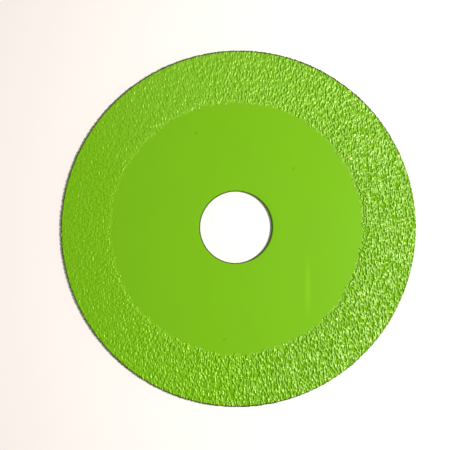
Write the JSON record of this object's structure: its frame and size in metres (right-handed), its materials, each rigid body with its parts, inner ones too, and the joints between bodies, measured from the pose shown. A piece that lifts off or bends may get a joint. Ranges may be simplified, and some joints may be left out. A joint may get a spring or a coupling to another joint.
{
  "type": "glass cutting disc",
  "caption": "Flat round cutting disc with a central bore and a rough grit band over the outer part of both faces and the rim.",
  "frame": {"origin": "centre of the bore, at mid thickness of the steel blank", "axes": "+Z along the bore's axis, out of the front face; the disc lies flat in the XY plane"},
  "size_m": [0.1, 0.1, 0.0012],
  "materials": {
    "painted_steel": "glossy lime green enamel on flat steel",
    "painted_grit": "glossy lime green enamel over rough brazed grit"
  },
  "bodies": {
    "root": {"steel_blank": "painted_steel", "grit_band": "painted_grit"}
  },
  "joints": []
}
